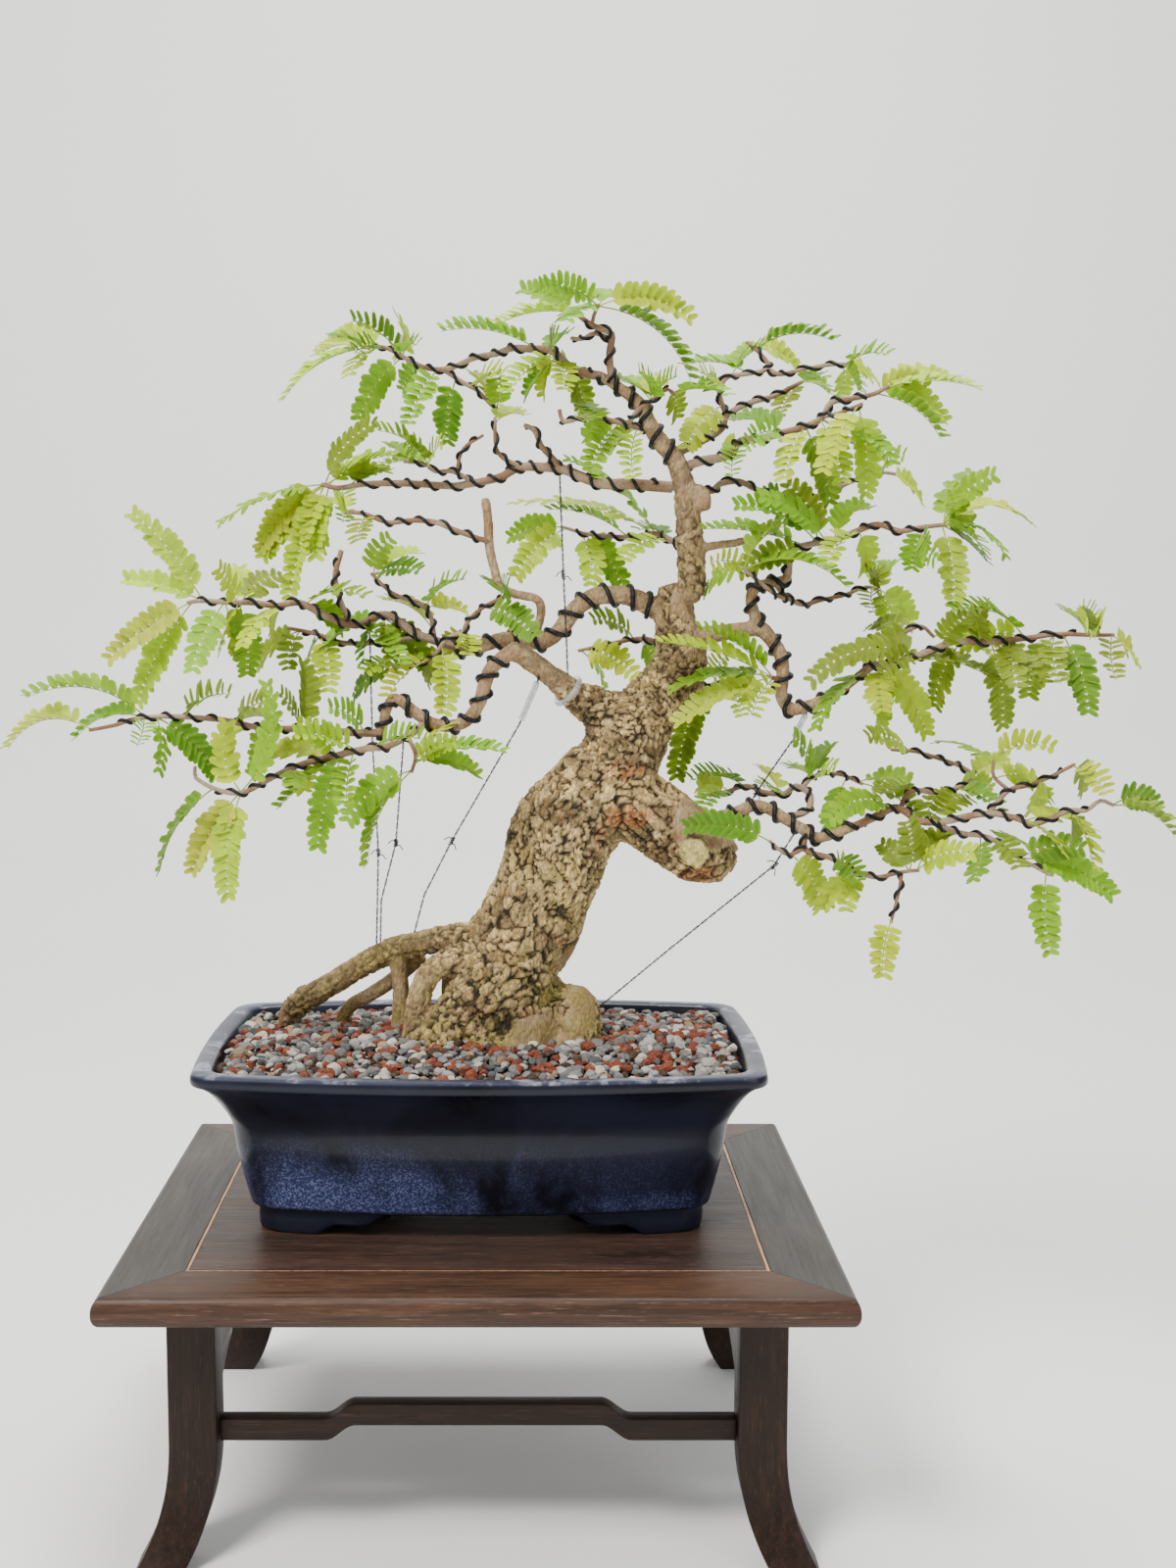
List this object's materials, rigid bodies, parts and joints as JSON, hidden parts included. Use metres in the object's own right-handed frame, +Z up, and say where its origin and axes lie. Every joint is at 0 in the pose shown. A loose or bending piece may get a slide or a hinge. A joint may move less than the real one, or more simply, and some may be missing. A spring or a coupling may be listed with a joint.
{
  "type": "tamarind bonsai",
  "caption": "Tamarind bonsai with wired branches and feathery leaves in a blue glazed pot, on a dark wooden stand with flared legs.",
  "frame": {"origin": "on the ground, under the middle of the whole object's box", "axes": "+Z up, +X to the right and +Y away from the viewer, seen from the front as in the picture"},
  "size_m": [0.5662, 0.278, 0.6125],
  "materials": {
    "panel_wood": "satin dark rosewood",
    "rail_wood": "satin dark rosewood with light flecks",
    "leg_wood": "satin dark rosewood",
    "inlay": "satin light wood line",
    "glaze": "glossy navy ceramic glaze",
    "screen": "black plastic mesh",
    "gravel": "rough mixed stones",
    "bark": "rough plated bark",
    "leaf": "soft satin leaf",
    "wire": "black anodised wire",
    "clear_sleeve": "clear tubing"
  },
  "bodies": {
    "root": {"stand_panel": "panel_wood", "stand_rail_front": "rail_wood", "stand_rail_back": "rail_wood", "stand_rail_left": "rail_wood", "stand_rail_right": "rail_wood", "stand_inlay_left": "inlay", "stand_inlay_right": "inlay", "stand_leg_front_left": "leg_wood", "stand_leg_front_right": "leg_wood", "stand_leg_back_left": "leg_wood", "stand_leg_back_right": "leg_wood", "stand_stretcher_front": "leg_wood", "stand_stretcher_back": "leg_wood", "stand_apron_left": "leg_wood", "stand_apron_right": "leg_wood", "pot": "glaze", "drain_screen_left": "screen", "drain_screen_right": "screen", "soil": "gravel", "tree_wood": "bark", "leafy_apex": "leaf", "leafy_top_left": "leaf", "leafy_crown": "leaf", "leafy_upper_left": "leaf", "leafy_thin_left": "leaf", "leafy_left_arch": "leaf", "leafy_left_inner": "leaf", "leafy_left_low": "leaf", "leafy_left_lower": "leaf", "leafy_centre_back": "leaf", "leafy_trunk_back": "leaf", "leafy_right_top": "leaf", "leafy_right_back": "leaf", "leafy_right_third": "leaf", "leafy_right_mid": "leaf", "leafy_right_thin": "leaf", "leafy_right_front": "leaf", "leafy_right_long": "leaf", "leafy_trunk_right": "leaf", "leafy_low_right": "leaf", "leafy_low_back": "leaf", "leafy_low_front": "leaf", "leafy_low_inner": "leaf", "training_wire_crown": "wire", "training_wire_left_low": "wire", "training_wire_left_arch": "wire", "training_wire_right_rising": "wire", "training_wire_right_falling": "wire", "training_wire_right_low": "wire", "guy_wire_left_inner": "wire", "guy_wire_left_lower": "wire", "guy_wire_left_arch": "wire", "guy_wire_centre": "wire", "guy_wire_right": "wire", "guy_wire_low_right": "wire", "clear_sleeve_left_inner": "clear_sleeve", "clear_sleeve_right": "clear_sleeve"}
  },
  "joints": []
}
